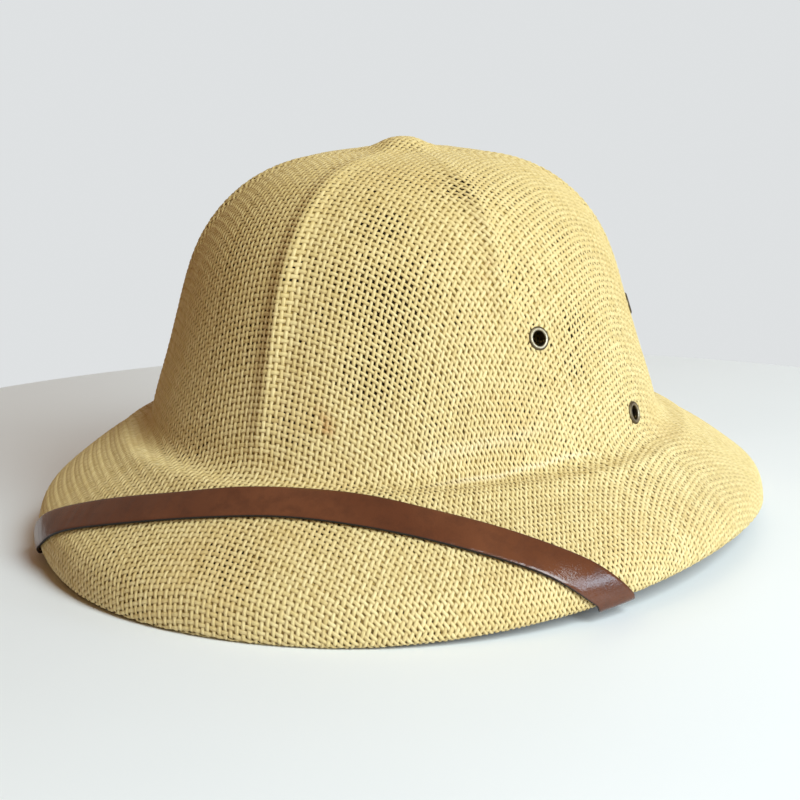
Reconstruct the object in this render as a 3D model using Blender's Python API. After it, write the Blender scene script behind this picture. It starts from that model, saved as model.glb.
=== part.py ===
"""Sun helmet of woven straw: one moulded cloth shell, brass eyelets in its sides and a leather strap.

Metres, +Z up. The front of the hat faces -Y, and the origin is on the ground under the hat's middle.
Angles are measured round the crown's axis from the front, positive towards +X.
"""

import math
from typing import NamedTuple

import bmesh
import bpy
import numpy as np
from mathutils import Matrix, Vector

# Crown: the width and length are taken at its waist, just above the brim
CROWN_WIDTH = 0.204
CROWN_LENGTH = 0.218
CROWN_HEIGHT = 0.1155
CROWN_SQUARENESS = 1.9
RIDGE_HEIGHT = 0.0022
RIDGE_WIDTH = 0.0085
PANEL_SINK = 0.0018

# Brim: each width is from the crown's waist out to the rim, seen from above
BRIM_FRONT = 0.052
BRIM_BACK = 0.057
BRIM_SIDE = 0.041
BRIM_DROP = 0.043
RIM_ARCH = 0.0100
RIM_ARCH_CURVE = 1.8
RIM_SQUARENESS = 2.08
RIM_FLAT_HALF_ANGLE = 18.0

# The strap's pull bends the left front of the brim in and up a little
PULL_ANGLE = -34.0
PULL_SPREAD = 20.0
PULL_IN = 0.0022
PULL_UP = 0.0026

# Cloth
WALL = 0.0020
HEM_THICKNESS = 0.0032
HEM_HEIGHT = 0.009
HEM_TAPER = 0.0036

# Eyelets
EYELET_DIAMETER = 0.0090
EYELET_BORE = 0.0056
EYELET_METAL = 0.0004
EYELET_BEAD = 0.0009
EYELET_STAND_OFF = 0.00025
EYELET_SPREAD = 27.5

# Strap, and the two rivets that hold its ends to the inside of the crown
STRAP_WIDTH = 0.0135
STRAP_THICKNESS = 0.0011
STRAP_LIFT = 0.0008
RIVET_DIAMETER = 0.0070
RIVET_SHANK = 0.0030
RIVET_DOME = 0.0012
RIVET_BITE = 0.0008
RIVET_FROM_END = 0.0065

# Space left between pieces that touch on the real hat
GAP = 0.0003

# Fineness of the mesh: the first columns beside a ridge are shares of its width
COLUMNS_BESIDE_RIDGE = (0.0, 0.48, 1.0, 1.7, 2.7)
COLUMN_STEP = 8.5
ROUND_SEGMENTS = 14
STRAP_ROWS = 84

COLOURS = {
    "straw": (0.67, 0.54, 0.27, 1.0),
    "leather": (0.16, 0.06, 0.035, 1.0),
    "eyelet_metal": (0.36, 0.31, 0.22, 1.0),
    "rivet_metal": (0.40, 0.36, 0.30, 1.0),
}


class CrownStation(NamedTuple):
    """A point of the crown's section: shares of the waist's reach, of the crown's height and of the ridges.

    The long ridges run down the front and the back, and the short ones fade out on the sides.
    """

    reach: float
    height: float
    long_ridge: float
    short_ridge: float
    rows: int


class BrimStation(NamedTuple):
    """A point of the brim's section: shares of the way from the crown's foot to the rim, and of the drop."""

    out: float
    drop: float
    rows: int


class EyeletPlace(NamedTuple):
    """Where an eyelet sits: its angle from the middle of the side, and a share of the crown's height."""

    name: str
    turn: float
    height: float


class BeadStation(NamedTuple):
    """A point of an eyelet's rolled flange: shares of the way from bore to edge and of the bead's height."""

    out: float
    rise: float


class StrapStation(NamedTuple):
    """A point of the strap's middle line: an angle, and a share of the brim's section from rim to foot."""

    angle: float
    climb: float


# From the button on top down to the foot; rows counts the mesh rows from the station above
CROWN = (
    CrownStation(reach=0.000, height=1.000, long_ridge=0.0, short_ridge=0.00, rows=0),
    CrownStation(reach=0.060, height=0.992, long_ridge=0.0, short_ridge=0.00, rows=1),
    CrownStation(reach=0.100, height=0.976, long_ridge=0.1, short_ridge=0.10, rows=1),
    CrownStation(reach=0.150, height=0.961, long_ridge=0.5, short_ridge=0.50, rows=1),
    CrownStation(reach=0.240, height=0.950, long_ridge=0.9, short_ridge=0.90, rows=1),
    CrownStation(reach=0.400, height=0.928, long_ridge=1.0, short_ridge=1.00, rows=1),
    CrownStation(reach=0.540, height=0.880, long_ridge=1.0, short_ridge=1.00, rows=2),
    CrownStation(reach=0.664, height=0.800, long_ridge=1.0, short_ridge=0.95, rows=2),
    CrownStation(reach=0.793, height=0.650, long_ridge=1.0, short_ridge=0.70, rows=2),
    CrownStation(reach=0.880, height=0.450, long_ridge=0.9, short_ridge=0.25, rows=2),
    CrownStation(reach=0.948, height=0.250, long_ridge=0.6, short_ridge=0.05, rows=2),
    CrownStation(reach=1.000, height=0.100, long_ridge=0.2, short_ridge=0.00, rows=2),
    CrownStation(reach=1.024, height=0.040, long_ridge=0.0, short_ridge=0.00, rows=1),
    CrownStation(reach=1.060, height=0.012, long_ridge=0.0, short_ridge=0.00, rows=1),
    CrownStation(reach=1.120, height=0.000, long_ridge=0.0, short_ridge=0.00, rows=1),
)

BRIM = (
    BrimStation(out=0.14, drop=0.090, rows=1),
    BrimStation(out=0.32, drop=0.200, rows=1),
    BrimStation(out=0.50, drop=0.315, rows=1),
    BrimStation(out=0.66, drop=0.430, rows=1),
    BrimStation(out=0.80, drop=0.535, rows=1),
    BrimStation(out=0.91, drop=0.640, rows=2),
    BrimStation(out=0.97, drop=0.765, rows=1),
    BrimStation(out=0.995, drop=0.890, rows=1),
    BrimStation(out=1.00, drop=1.000, rows=1),
)

LONG_RIDGES = ("front", "back")

RIDGES = {
    "front": 0.0,
    "front_right": 55.0,
    "back_right": 125.0,
    "back": 180.0,
    "back_left": 235.0,
    "front_left": 305.0,
}

EYELETS = (
    EyeletPlace(name="front", turn=-EYELET_SPREAD, height=0.41),
    EyeletPlace(name="low", turn=0.0, height=0.11),
    EyeletPlace(name="back", turn=EYELET_SPREAD, height=0.41),
)

BEAD = (
    BeadStation(out=0.0, rise=0.55),
    BeadStation(out=0.3, rise=1.0),
    BeadStation(out=0.7, rise=0.95),
    BeadStation(out=1.0, rise=0.35),
)

# Left to right; climb is below 0 on the inner face, where -1 is the inside of the foot
STRAP = (
    StrapStation(angle=-70.0, climb=-1.56),
    StrapStation(angle=-70.0, climb=-1.34),
    StrapStation(angle=-69.3, climb=-1.12),
    StrapStation(angle=-67.0, climb=-0.90),
    StrapStation(angle=-60.5, climb=-0.62),
    StrapStation(angle=-51.5, climb=-0.30),
    StrapStation(angle=-42.6, climb=0.00),
    StrapStation(angle=-34.6, climb=0.27),
    StrapStation(angle=-25.0, climb=0.52),
    StrapStation(angle=-14.0, climb=0.72),
    StrapStation(angle=-2.0, climb=0.87),
    StrapStation(angle=10.0, climb=0.94),
    StrapStation(angle=22.0, climb=0.90),
    StrapStation(angle=33.0, climb=0.78),
    StrapStation(angle=43.5, climb=0.58),
    StrapStation(angle=52.5, climb=0.31),
    StrapStation(angle=59.6, climb=0.00),
    StrapStation(angle=64.5, climb=-0.32),
    StrapStation(angle=68.0, climb=-0.63),
    StrapStation(angle=69.5, climb=-0.90),
    StrapStation(angle=70.0, climb=-1.12),
    StrapStation(angle=70.0, climb=-1.34),
    StrapStation(angle=70.0, climb=-1.56),
)

# The strap's ends lie below this share of the crown's height
STRAP_TOP = 0.30

# Spreads of climb, either side of the rim, in which the strap's rows are closer and turn along the rim
FOLD_ROWS_SPREAD = 0.08
FOLD_TURN_SPREAD = 0.28

# The most that a row lengthens as it turns along the rim
FOLD_WIDENING = 1.25


def spline_bend(knots):
    """Weights that turn values at the knots into the second derivatives of their natural cubic spline."""
    count = len(knots)
    step = np.diff(knots)
    left = np.eye(count)
    right = np.zeros((count, count))
    for k in range(1, count - 1):
        left[k, k - 1 : k + 2] = (step[k - 1], 2 * (step[k - 1] + step[k]), step[k])
        right[k, k - 1] = 6 / step[k - 1]
        right[k, k] = -6 / step[k - 1] - 6 / step[k]
        right[k, k + 1] = 6 / step[k]
    return np.linalg.solve(left, right)


def spline_weights(knots, bend, samples):
    """Weights that turn values at the knots into the spline's values at the samples."""
    span = np.clip(np.searchsorted(knots, samples, side="right") - 1, 0, len(knots) - 2)
    width = (knots[span + 1] - knots[span])[:, None]
    b = (samples - knots[span])[:, None] / width
    a = 1 - b
    values = np.eye(len(knots))
    return (
        a * values[span]
        + b * values[span + 1]
        + ((a**3 - a) * bend[span] + (b**3 - b) * bend[span + 1]) * width**2 / 6
    )


def oval_reach(angle, half_width, half_length, squareness):
    """Distance from the axis to an oval, at an angle from the front."""
    across = np.abs(np.sin(angle)) / half_width
    along = np.abs(np.cos(angle)) / half_length
    return (across**squareness + along**squareness) ** (-1 / squareness)


def waist_reach(angle):
    return oval_reach(angle, CROWN_WIDTH / 2, CROWN_LENGTH / 2, CROWN_SQUARENESS)


def strap_pull(angle):
    """Share of the strap's pull that the rim feels at an angle."""
    turn = np.mod(angle - math.radians(PULL_ANGLE) + np.pi, 2 * np.pi) - np.pi
    return np.exp(-((turn / math.radians(PULL_SPREAD)) ** 2))


def rim_reach(angle):
    brim = np.where(np.cos(angle) > 0, BRIM_FRONT, BRIM_BACK)
    half_width = CROWN_WIDTH / 2 + BRIM_SIDE
    reach = oval_reach(angle, half_width, CROWN_LENGTH / 2 + brim, RIM_SQUARENESS)
    return reach - PULL_IN * strap_pull(angle)


def rim_height(angle):
    """The rim lies flat at the front and the back, and arches up at the sides."""
    flat = math.sin(math.radians(RIM_FLAT_HALF_ANGLE))
    rise = np.clip((np.abs(np.sin(angle)) - flat) / (1 - flat), 0, 1)
    return RIM_ARCH * rise**RIM_ARCH_CURVE + PULL_UP * strap_pull(angle)


def crown_axis_y():
    """The rim's front and back lie equally far from the origin."""
    return (BRIM_FRONT - BRIM_BACK) / 2


def section_knots():
    """Places of the stations along the section, with two mirrored above the button to round its top."""
    middle = CROWN_LENGTH / 2
    reach = [s.reach * middle for s in CROWN]
    height = [s.height * CROWN_HEIGHT for s in CROWN]
    foot = reach[-1]
    for s in BRIM:
        reach.append(foot + s.out * (middle + BRIM_FRONT - foot))
        height.append(-s.drop * BRIM_DROP)
    lengths = np.hypot(np.diff(reach), np.diff(height))
    knots = np.concatenate([[0.0], np.cumsum(lengths)])
    return np.concatenate([-knots[2:0:-1], knots])


KNOTS = section_knots()
BEND = spline_bend(KNOTS)
FOOT_PLACE = KNOTS[len(CROWN) + 1]
RIM_PLACE = KNOTS[-1]


def ridge_relief(angle, reach, long_ridge, short_ridge):
    """Height of the ridges' welts, less the sinking of the panels between them.

    Each panel passes evenly from the strength of the ridge on its one side to that on the other.
    """
    in_order = sorted(RIDGES, key=RIDGES.get)
    places = np.radians([RIDGES[name] for name in in_order])
    is_long = np.array([float(name in LONG_RIDGES) for name in in_order + in_order[:1]])
    ends = np.concatenate([places, [places[0] + 2 * np.pi]])
    turn = np.mod(angle, 2 * np.pi)
    panel = np.clip(np.searchsorted(ends, turn, side="right") - 1, 0, len(places) - 1)
    half = (ends[panel + 1] - ends[panel]) / 2
    from_middle = np.abs(turn - ends[panel] - half)
    from_ridge = (half - from_middle) * reach
    welt = np.exp(-((2 * from_ridge / RIDGE_WIDTH) ** 2))
    across = (turn - ends[panel]) / (2 * half)
    share = is_long[panel] + across * (is_long[panel + 1] - is_long[panel])
    strength = np.clip(short_ridge + share * (long_ridge - short_ridge), 0, 1)
    return strength * (RIDGE_HEIGHT * welt - PANEL_SINK * (1 - (from_middle / half) ** 2))


def outer_section(angle, place):
    """Radius and height of the outer face, for arrays of angles and places of the same shape."""
    waist = waist_reach(angle)
    foot = CROWN[-1].reach * waist
    rim = rim_reach(angle)
    low = rim_height(angle)
    stations = [(s.reach * waist, BRIM_DROP + s.height * CROWN_HEIGHT + 0 * waist) for s in CROWN]
    for s in BRIM:
        stations.append((foot + s.out * (rim - foot), BRIM_DROP + s.drop * (low - BRIM_DROP)))
    radii, heights = (np.array(column) for column in zip(*stations))
    radii = np.concatenate([-radii[2:0:-1], radii])
    heights = np.concatenate([heights[2:0:-1], heights])
    weights = spline_weights(KNOTS, BEND, place)
    radius = np.einsum("nk,kn->n", weights, radii)
    height = np.einsum("nk,kn->n", weights, heights)
    ridges = np.array([(s.long_ridge, s.short_ridge) for s in CROWN] + [(0.0, 0.0)] * len(BRIM))
    long_ridge, short_ridge = (weights @ np.concatenate([ridges[2:0:-1], ridges])).T
    return radius + ridge_relief(angle, np.maximum(radius, 0), long_ridge, short_ridge), height


def outer_point(angle, place):
    """Points of the outer face in space."""
    radius, height = outer_section(angle, place)
    x = radius * np.sin(angle)
    y = crown_axis_y() - radius * np.cos(angle)
    return np.stack([x, y, height], axis=1)


def outer_normal(angle, place):
    """Unit normals of the outer face, from small steps along it."""
    step = 1e-4
    turn = step / np.maximum(np.abs(outer_section(angle, place)[0]), 10 * step)
    round_it = outer_point(angle + turn, place) - outer_point(angle - turn, place)
    down_it = outer_point(angle, np.minimum(place + step, RIM_PLACE)) - outer_point(angle, place - step)
    normal = np.cross(down_it, round_it)
    return normal / np.linalg.norm(normal, axis=1)[:, None]


def wall_at(place):
    """Thickness of the cloth: it is doubled where the rim is turned under."""
    into_hem = np.clip((place - (RIM_PLACE - HEM_HEIGHT)) / HEM_TAPER, 0, 1)
    return WALL + (HEM_THICKNESS - WALL) * into_hem


def inner_point(angle, place, lift=0.0):
    """Points of the inner face, or lift metres inside it."""
    depth = (wall_at(place) + lift)[:, None]
    return outer_point(angle, place) - depth * outer_normal(angle, place)


def column_angles():
    """Angles of the mesh's columns: closer together beside each ridge."""
    width = math.degrees(RIDGE_WIDTH / (CROWN_LENGTH / 2))
    beside = [share * width for share in COLUMNS_BESIDE_RIDGE]
    places = sorted(RIDGES.values()) + [360.0]
    angles = []
    for start, end in zip(places, places[1:]):
        plain = end - start - 2 * beside[-1]
        inner = max(2, round(plain / COLUMN_STEP))
        angles += [start + b for b in beside]
        angles += [start + beside[-1] + plain * k / inner for k in range(1, inner)]
        angles += [end - b for b in beside[:0:-1]]
    return np.radians(angles)


def row_places():
    """Places of the mesh's rows along the section, from just below the button's top to the rim."""
    places = []
    rows = [s.rows for s in CROWN] + [s.rows for s in BRIM]
    knots = KNOTS[2:]
    for k in range(1, len(knots)):
        for j in range(1, rows[k] + 1):
            places.append(knots[k - 1] + (knots[k] - knots[k - 1]) * j / rows[k])
    return np.array(places)


def principled(name, roughness, metallic=0.0):
    material = bpy.data.materials.new(name)
    material.use_nodes = True
    shader = material.node_tree.nodes["Principled BSDF"]
    shader.inputs["Base Color"].default_value = COLOURS[name]
    shader.inputs["Roughness"].default_value = roughness
    shader.inputs["Metallic"].default_value = metallic
    return material


def add_object(name, mesh, material):
    mesh.materials.append(material)
    mesh.shade_smooth()
    mesh.set_sharp_from_angle(angle=math.radians(40))
    obj = bpy.data.objects.new(name, mesh)
    bpy.context.scene.collection.objects.link(obj)
    return obj


def mesh_of(name, points, faces):
    """A mesh with its normals facing out."""
    mesh = bpy.data.meshes.new(name)
    mesh.from_pydata([tuple(p) for p in points], [], faces)
    work = bmesh.new()
    work.from_mesh(mesh)
    bmesh.ops.recalc_face_normals(work, faces=work.faces)
    work.to_mesh(mesh)
    work.free()
    mesh.update()
    return mesh


def loft(rings):
    """Points and faces of quads between rings of equal count, each ring closed on itself."""
    count = len(rings[0])
    points = np.concatenate(rings)
    faces = []
    for k in range(len(rings) - 1):
        for j in range(count):
            right = (j + 1) % count
            faces.append(
                (k * count + j, k * count + right, (k + 1) * count + right, (k + 1) * count + j)
            )
    return points, faces


def shell_mesh():
    """Outer face from the button to the rim, then the inner face back up."""
    angles = column_angles()
    places = row_places()
    rings = []
    for place in places:
        rings.append(outer_point(angles, np.full(len(angles), place)))
    strap_top = place_at_height(STRAP_TOP)
    inner_rows = [place for k, place in enumerate(places) if k % 2 == 0 or place > strap_top]
    for place in reversed(inner_rows):
        ring = inner_point(angles, np.full(len(angles), place))
        if place == places[-1]:
            ring[:, 2] = rings[-1][:, 2]
        rings.append(ring)
    points, faces = loft(rings)
    count = len(angles)
    top = outer_point(np.zeros(1), np.zeros(1))[0]
    points = np.concatenate([points, [top, top - (0, 0, WALL)]])
    last = (len(rings) - 1) * count
    for j in range(count):
        right = (j + 1) % count
        faces.append((len(points) - 2, right, j))
        faces.append((len(points) - 1, last + j, last + right))
    return mesh_of("straw_shell", points, faces)


def place_at_height(share):
    """Place along the section where the crown has this share of its height."""
    tries = np.linspace(0.0, FOOT_PLACE, 400)
    height = outer_section(np.zeros(400), tries)[1]
    return float(np.interp(-(BRIM_DROP + share * CROWN_HEIGHT), -height, tries))


def seat_at(point, normal):
    """Matrix with its origin at a point and +Z along a normal."""
    side = Vector((0, 0, 1)).cross(Vector(normal)).normalized()
    up = Vector(normal).cross(side)
    turn = Matrix((side, up, Vector(normal))).transposed().to_4x4()
    return Matrix.Translation(Vector(point)) @ turn


def seat_on_wall(angle, place):
    angles = np.array([angle])
    places = np.array([place])
    return seat_at(outer_point(angles, places)[0], outer_normal(angles, places)[0])


def turned(profile):
    """Points and faces of a profile of (radius, height) turned round Z."""
    rings = []
    for radius, height in profile:
        ring = []
        for j in range(ROUND_SEGMENTS):
            turn = 2 * math.pi * j / ROUND_SEGMENTS
            ring.append((radius * math.cos(turn), radius * math.sin(turn), height))
        rings.append(np.array(ring))
    return loft(rings)


def turned_solid(name, profile):
    """A profile turned round Z, with a flat cap at each end."""
    points, faces = turned(profile)
    faces.append(tuple(range(ROUND_SEGMENTS)))
    faces.append(tuple(range(len(points) - ROUND_SEGMENTS, len(points))))
    return mesh_of(name, points, faces)


def turned_ring(name, profile):
    """A profile turned round Z and closed from its last point to its first."""
    points, faces = turned(profile)
    last = len(points) - ROUND_SEGMENTS
    for j in range(ROUND_SEGMENTS):
        right = (j + 1) % ROUND_SEGMENTS
        faces.append((last + j, last + right, right, j))
    return mesh_of(name, points, faces)


def eyelet_mesh(name):
    """A rolled flange on the outer face, a tube through the wall and a flat flange inside."""
    bore = EYELET_BORE / 2
    tube = bore + EYELET_METAL
    flange = EYELET_DIAMETER / 2
    outside = GAP + EYELET_STAND_OFF
    inside = -WALL - GAP - EYELET_STAND_OFF
    profile = [(bore + s.out * (flange - bore), outside + s.rise * EYELET_BEAD) for s in BEAD]
    profile += [
        (flange, outside),
        (tube, outside),
        (tube, inside),
        (flange, inside),
        (flange, inside - EYELET_METAL),
        (bore, inside - EYELET_METAL),
    ]
    return turned_ring(name, profile)


def make_eyelets(shell, metal):
    """Three eyelets on each side, each in a hole cut through the shell."""
    radius = EYELET_BORE / 2 + EYELET_METAL + GAP
    for side, sign in (("right", 1), ("left", -1)):
        for place in EYELETS:
            label = f"{side}_{place.name}"
            angle = sign * math.radians(90 + place.turn)
            seat = seat_on_wall(angle, place_at_height(place.height))
            eyelet = add_object(f"eyelet_{label}", eyelet_mesh(label), metal)
            eyelet.matrix_world = seat
            cut_hole((shell,), f"hole_{label}", seat, radius, -4 * WALL, 4 * WALL)


def cut_hole(targets, name, seat, radius, low, high):
    """Cuts a round hole between two heights over the seat out of each target."""
    mesh = turned_solid(name, [(radius, low), (radius, high)])
    cutter = bpy.data.objects.new(name, mesh)
    bpy.context.scene.collection.objects.link(cutter)
    cutter.matrix_world = seat
    cutter.hide_render = True
    cutter.display_type = "WIRE"
    for target in targets:
        cut = target.modifiers.new(name, "BOOLEAN")
        cut.operation = "DIFFERENCE"
        cut.object = cutter


def climb_to_section(angle, climb, lift):
    """Radius and height, lift metres off the shell, at a climb along its section round the rim.

    The section is followed up the outer face for a positive climb, up the inner face for a negative one.
    """
    count = 90
    top = place_at_height(STRAP_TOP)
    places = np.linspace(RIM_PLACE, top, count)
    turn = np.full(count, angle)
    outer = np.stack(outer_section(turn, places), axis=1)
    inner_3d = inner_point(turn, places)
    radius = np.hypot(inner_3d[:, 0], inner_3d[:, 1] - crown_axis_y())
    inner = np.stack([radius, inner_3d[:, 2]], axis=1)
    inner[0, 1] = outer[0, 1]
    section = RIM_PLACE - FOOT_PLACE
    edge = HEM_THICKNESS / 2 / section
    shares = edge + (RIM_PLACE - places) / section
    path = np.concatenate([inner[::-1], outer])
    measure = np.concatenate([-shares[::-1], shares])
    tangent = np.gradient(path, axis=0)
    normal = np.stack([-tangent[:, 1], tangent[:, 0]], axis=1)
    normal /= np.linalg.norm(normal, axis=1)[:, None]
    if np.dot(normal[-1], (1, 0)) < 0:
        normal = -normal
    shifted = path + lift * normal
    return (
        np.interp(climb, measure, shifted[:, 0]),
        np.interp(climb, measure, shifted[:, 1]),
    )


def strap_point(angle, climb, lift):
    radius, height = climb_to_section(angle, climb, lift)
    return np.array([radius * math.sin(angle), crown_axis_y() - radius * math.cos(angle), height])


def strap_line():
    """Angles and climbs along the strap's middle line, in shorter steps where it turns round the rim."""
    knots = np.arange(len(STRAP), dtype=float)
    fine = np.linspace(0, len(STRAP) - 1, 300)
    weights = spline_weights(knots, spline_bend(knots), fine)
    angle = weights @ np.radians([s.angle for s in STRAP])
    climb = weights @ np.array([s.climb for s in STRAP])
    points = np.array([strap_point(a, c, STRAP_LIFT) for a, c in zip(angle, climb)])
    steps = np.linalg.norm(np.diff(points, axis=0), axis=1)
    steps *= 1 + 3 * at_rim(climb[1:], FOLD_ROWS_SPREAD)
    walked = np.concatenate([[0], np.cumsum(steps)])
    even = np.linspace(0, walked[-1], STRAP_ROWS)
    return np.interp(even, walked, angle), np.interp(even, walked, climb)


def at_rim(climb, spread):
    """1 where the strap passes the rim, falling to 0 within about two spreads of climb."""
    return np.exp(-((climb / spread) ** 2))


def strap_rows():
    """Each row's middle as angle and climb, and the step from it to the strap's upper edge.

    Rows lie square across the strap, and turn along the rim where the strap folds round it.
    """
    angle, climb = strap_line()
    section = RIM_PLACE - FOOT_PLACE
    reach = np.array([climb_to_section(a, c, 0.0)[0] for a, c in zip(angle, climb)])
    along = np.gradient(angle) * reach
    up = np.gradient(climb) * section
    length = np.hypot(along, up)
    square = np.stack([-up, along], axis=1) / length[:, None]
    rim_wise = np.stack([-np.sign(up), 0 * up], axis=1)
    share = at_rim(climb, FOLD_TURN_SPREAD)[:, None]
    across = (1 - share) * square + share * rim_wise
    across *= (STRAP_WIDTH / 2 / np.sum(across * square, axis=1))[:, None]
    widened = np.linalg.norm(across, axis=1) / (STRAP_WIDTH / 2)
    across *= (np.minimum(widened, FOLD_WIDENING) / widened)[:, None]
    return angle, climb, across[:, 0] / reach, across[:, 1] / section


def strap_frames():
    """For each row of the strap, the inner face's two edges and middle, and the way out of the shell."""
    frames = []
    for angle, climb, side_angle, side_climb in zip(*strap_rows()):
        low, middle, high = (
            strap_point(angle + side * side_angle, climb + side * side_climb, STRAP_LIFT)
            for side in (-1, 0, 1)
        )
        out = strap_point(angle, climb, STRAP_LIFT + STRAP_THICKNESS) - middle
        out /= np.linalg.norm(out)
        middle = middle + out * max(0.0, float(np.dot((low + high) / 2 - middle, out)))
        frames.append((low, middle, high, out))
    return frames


def strap_mesh():
    rings = []
    for low, middle, high, out in strap_frames():
        across = (high - low) / np.linalg.norm(high - low)
        out = out - across * np.dot(out, across)
        thick = STRAP_THICKNESS * out / np.linalg.norm(out)
        rings.append(np.array([low, middle, high, high + thick, middle + thick, low + thick]))
    points, faces = loft(rings)
    last = (len(rings) - 1) * 6
    faces += [(5, 4, 1, 0), (4, 3, 2, 1)]
    faces += [(last, last + 1, last + 4, last + 5), (last + 1, last + 2, last + 3, last + 4)]
    return mesh_of("chin_strap", points, faces)


def rivet_mesh(name):
    """A domed head on the strap's face, with a shank through the strap into the wall."""
    head = RIVET_DIAMETER / 2
    face = STRAP_LIFT + STRAP_THICKNESS + GAP
    profile = [
        (RIVET_SHANK / 2, -RIVET_BITE),
        (RIVET_SHANK / 2, face),
        (head, face),
        (head, face + 0.3 * RIVET_DOME),
        (0.8 * head, face + 0.75 * RIVET_DOME),
        (0.4 * head, face + RIVET_DOME),
    ]
    return turned_solid(name, profile)


def make_rivets(shell, strap, metal):
    """A rivet near each end of the strap, in a hole through the strap and part of the way into the wall."""
    frames = strap_frames()
    radius = RIVET_SHANK / 2 + GAP
    for side, ends in (("left", frames[:3]), ("right", frames[:-4:-1])):
        end = ends[0][1]
        along = ends[2][1] - end
        along /= np.linalg.norm(along)
        out = ends[1][3] - along * np.dot(ends[1][3], along)
        out /= np.linalg.norm(out)
        seat = seat_at(end + RIVET_FROM_END * along - STRAP_LIFT * out, out)
        rivet = add_object(f"strap_rivet_{side}", rivet_mesh(side), metal)
        rivet.matrix_world = seat
        depth = RIVET_BITE + GAP
        cut_hole((shell, strap), f"rivet_hole_{side}", seat, radius, -depth, 2 * RIVET_DIAMETER)


def clear_scene():
    for obj in list(bpy.data.objects):
        bpy.data.objects.remove(obj)


def main():
    clear_scene()
    straw = principled("straw", 0.75)
    leather = principled("leather", 0.35)
    metal = principled("eyelet_metal", 0.35, 1.0)
    shell = add_object("straw_shell", shell_mesh(), straw)
    make_eyelets(shell, metal)
    strap = add_object("chin_strap", strap_mesh(), leather)
    make_rivets(shell, strap, principled("rivet_metal", 0.4, 1.0))


main()
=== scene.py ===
"""Looks of the woven straw sun helmet: cloth with real yarns, eyelets, leather strap, table and light.

Metres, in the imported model's frame: +Z up, the front of the hat faces -Y.
Angles are measured round the crown's axis from the front, positive towards +X.
A place is a distance along the hat's section from the top of the crown down to the rim.
The flat map lays the cloth out round the crown's top, each point at its own angle and place.
"""

import math

import bmesh
import bpy
import numpy as np
from mathutils import Matrix, Vector

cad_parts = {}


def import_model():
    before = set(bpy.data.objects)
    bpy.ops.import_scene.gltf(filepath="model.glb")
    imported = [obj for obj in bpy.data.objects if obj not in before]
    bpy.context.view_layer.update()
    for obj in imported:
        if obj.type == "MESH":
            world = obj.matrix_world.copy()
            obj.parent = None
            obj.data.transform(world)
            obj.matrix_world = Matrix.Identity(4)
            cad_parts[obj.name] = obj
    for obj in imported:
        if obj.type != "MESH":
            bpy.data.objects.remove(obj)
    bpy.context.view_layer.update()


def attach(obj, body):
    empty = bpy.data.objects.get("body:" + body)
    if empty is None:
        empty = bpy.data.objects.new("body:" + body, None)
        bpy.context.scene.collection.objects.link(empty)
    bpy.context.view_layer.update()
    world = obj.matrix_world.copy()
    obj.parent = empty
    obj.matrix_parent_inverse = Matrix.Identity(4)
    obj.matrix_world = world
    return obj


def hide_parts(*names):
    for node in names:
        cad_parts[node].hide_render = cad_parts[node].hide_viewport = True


# The hat's sizes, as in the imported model
CROWN_WIDTH = 0.204
CROWN_LENGTH = 0.218
CROWN_HEIGHT = 0.1155
CROWN_SQUARENESS = 1.9
RIDGE_HEIGHT = 0.0022
RIDGE_WIDTH = 0.0085
PANEL_SINK = 0.0018
BRIM_FRONT = 0.052
BRIM_BACK = 0.057
BRIM_SIDE = 0.041
BRIM_DROP = 0.043
RIM_ARCH = 0.0100
RIM_ARCH_CURVE = 1.8
RIM_SQUARENESS = 2.08
RIM_FLAT_HALF_ANGLE = 18.0
PULL_ANGLE = -34.0
PULL_SPREAD = 20.0
PULL_IN = 0.0022
PULL_UP = 0.0026
WALL = 0.0020
HEM_THICKNESS = 0.0032
HEM_HEIGHT = 0.009
HEM_TAPER = 0.0036
EYELET_DIAMETER = 0.0090
EYELET_BORE = 0.0056
EYELET_METAL = 0.0004
EYELET_BEAD = 0.0009
EYELET_STAND_OFF = 0.00025
EYELET_SPREAD = 27.5
STRAP_WIDTH = 0.0135
STRAP_THICKNESS = 0.0011
STRAP_LIFT = 0.0008
RIVET_DIAMETER = 0.0070
RIVET_SHANK = 0.0030
RIVET_DOME = 0.0012
RIVET_FROM_END = 0.0065
GAP = 0.0003
AXIS_Y = (BRIM_FRONT - BRIM_BACK) / 2

# Reach and height of the crown's section from the top down, and the strength of long and short ridges
CROWN = (
    (0.000, 1.000, 0.0, 0.00),
    (0.060, 0.992, 0.0, 0.00),
    (0.100, 0.976, 0.1, 0.10),
    (0.150, 0.961, 0.5, 0.50),
    (0.240, 0.950, 0.9, 0.90),
    (0.400, 0.928, 1.0, 1.00),
    (0.540, 0.880, 1.0, 1.00),
    (0.664, 0.800, 1.0, 0.95),
    (0.793, 0.650, 1.0, 0.70),
    (0.880, 0.450, 0.9, 0.25),
    (0.948, 0.250, 0.6, 0.05),
    (1.000, 0.100, 0.2, 0.00),
    (1.024, 0.040, 0.0, 0.00),
    (1.060, 0.012, 0.0, 0.00),
    (1.120, 0.000, 0.0, 0.00),
)

# Shares of the way out and of the drop, from the crown's foot to the rim
BRIM = (
    (0.14, 0.090), (0.32, 0.200), (0.50, 0.315), (0.66, 0.430), (0.80, 0.535),
    (0.91, 0.640), (0.97, 0.765), (0.995, 0.890), (1.00, 1.000),
)

# Angles of the ridges, once round from the front one to itself, and of the ones that reach further down
RIDGES = (0.0, 55.0, 125.0, 180.0, 235.0, 305.0, 360.0)
LONG_RIDGES = (0.0, 180.0, 360.0)

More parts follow.
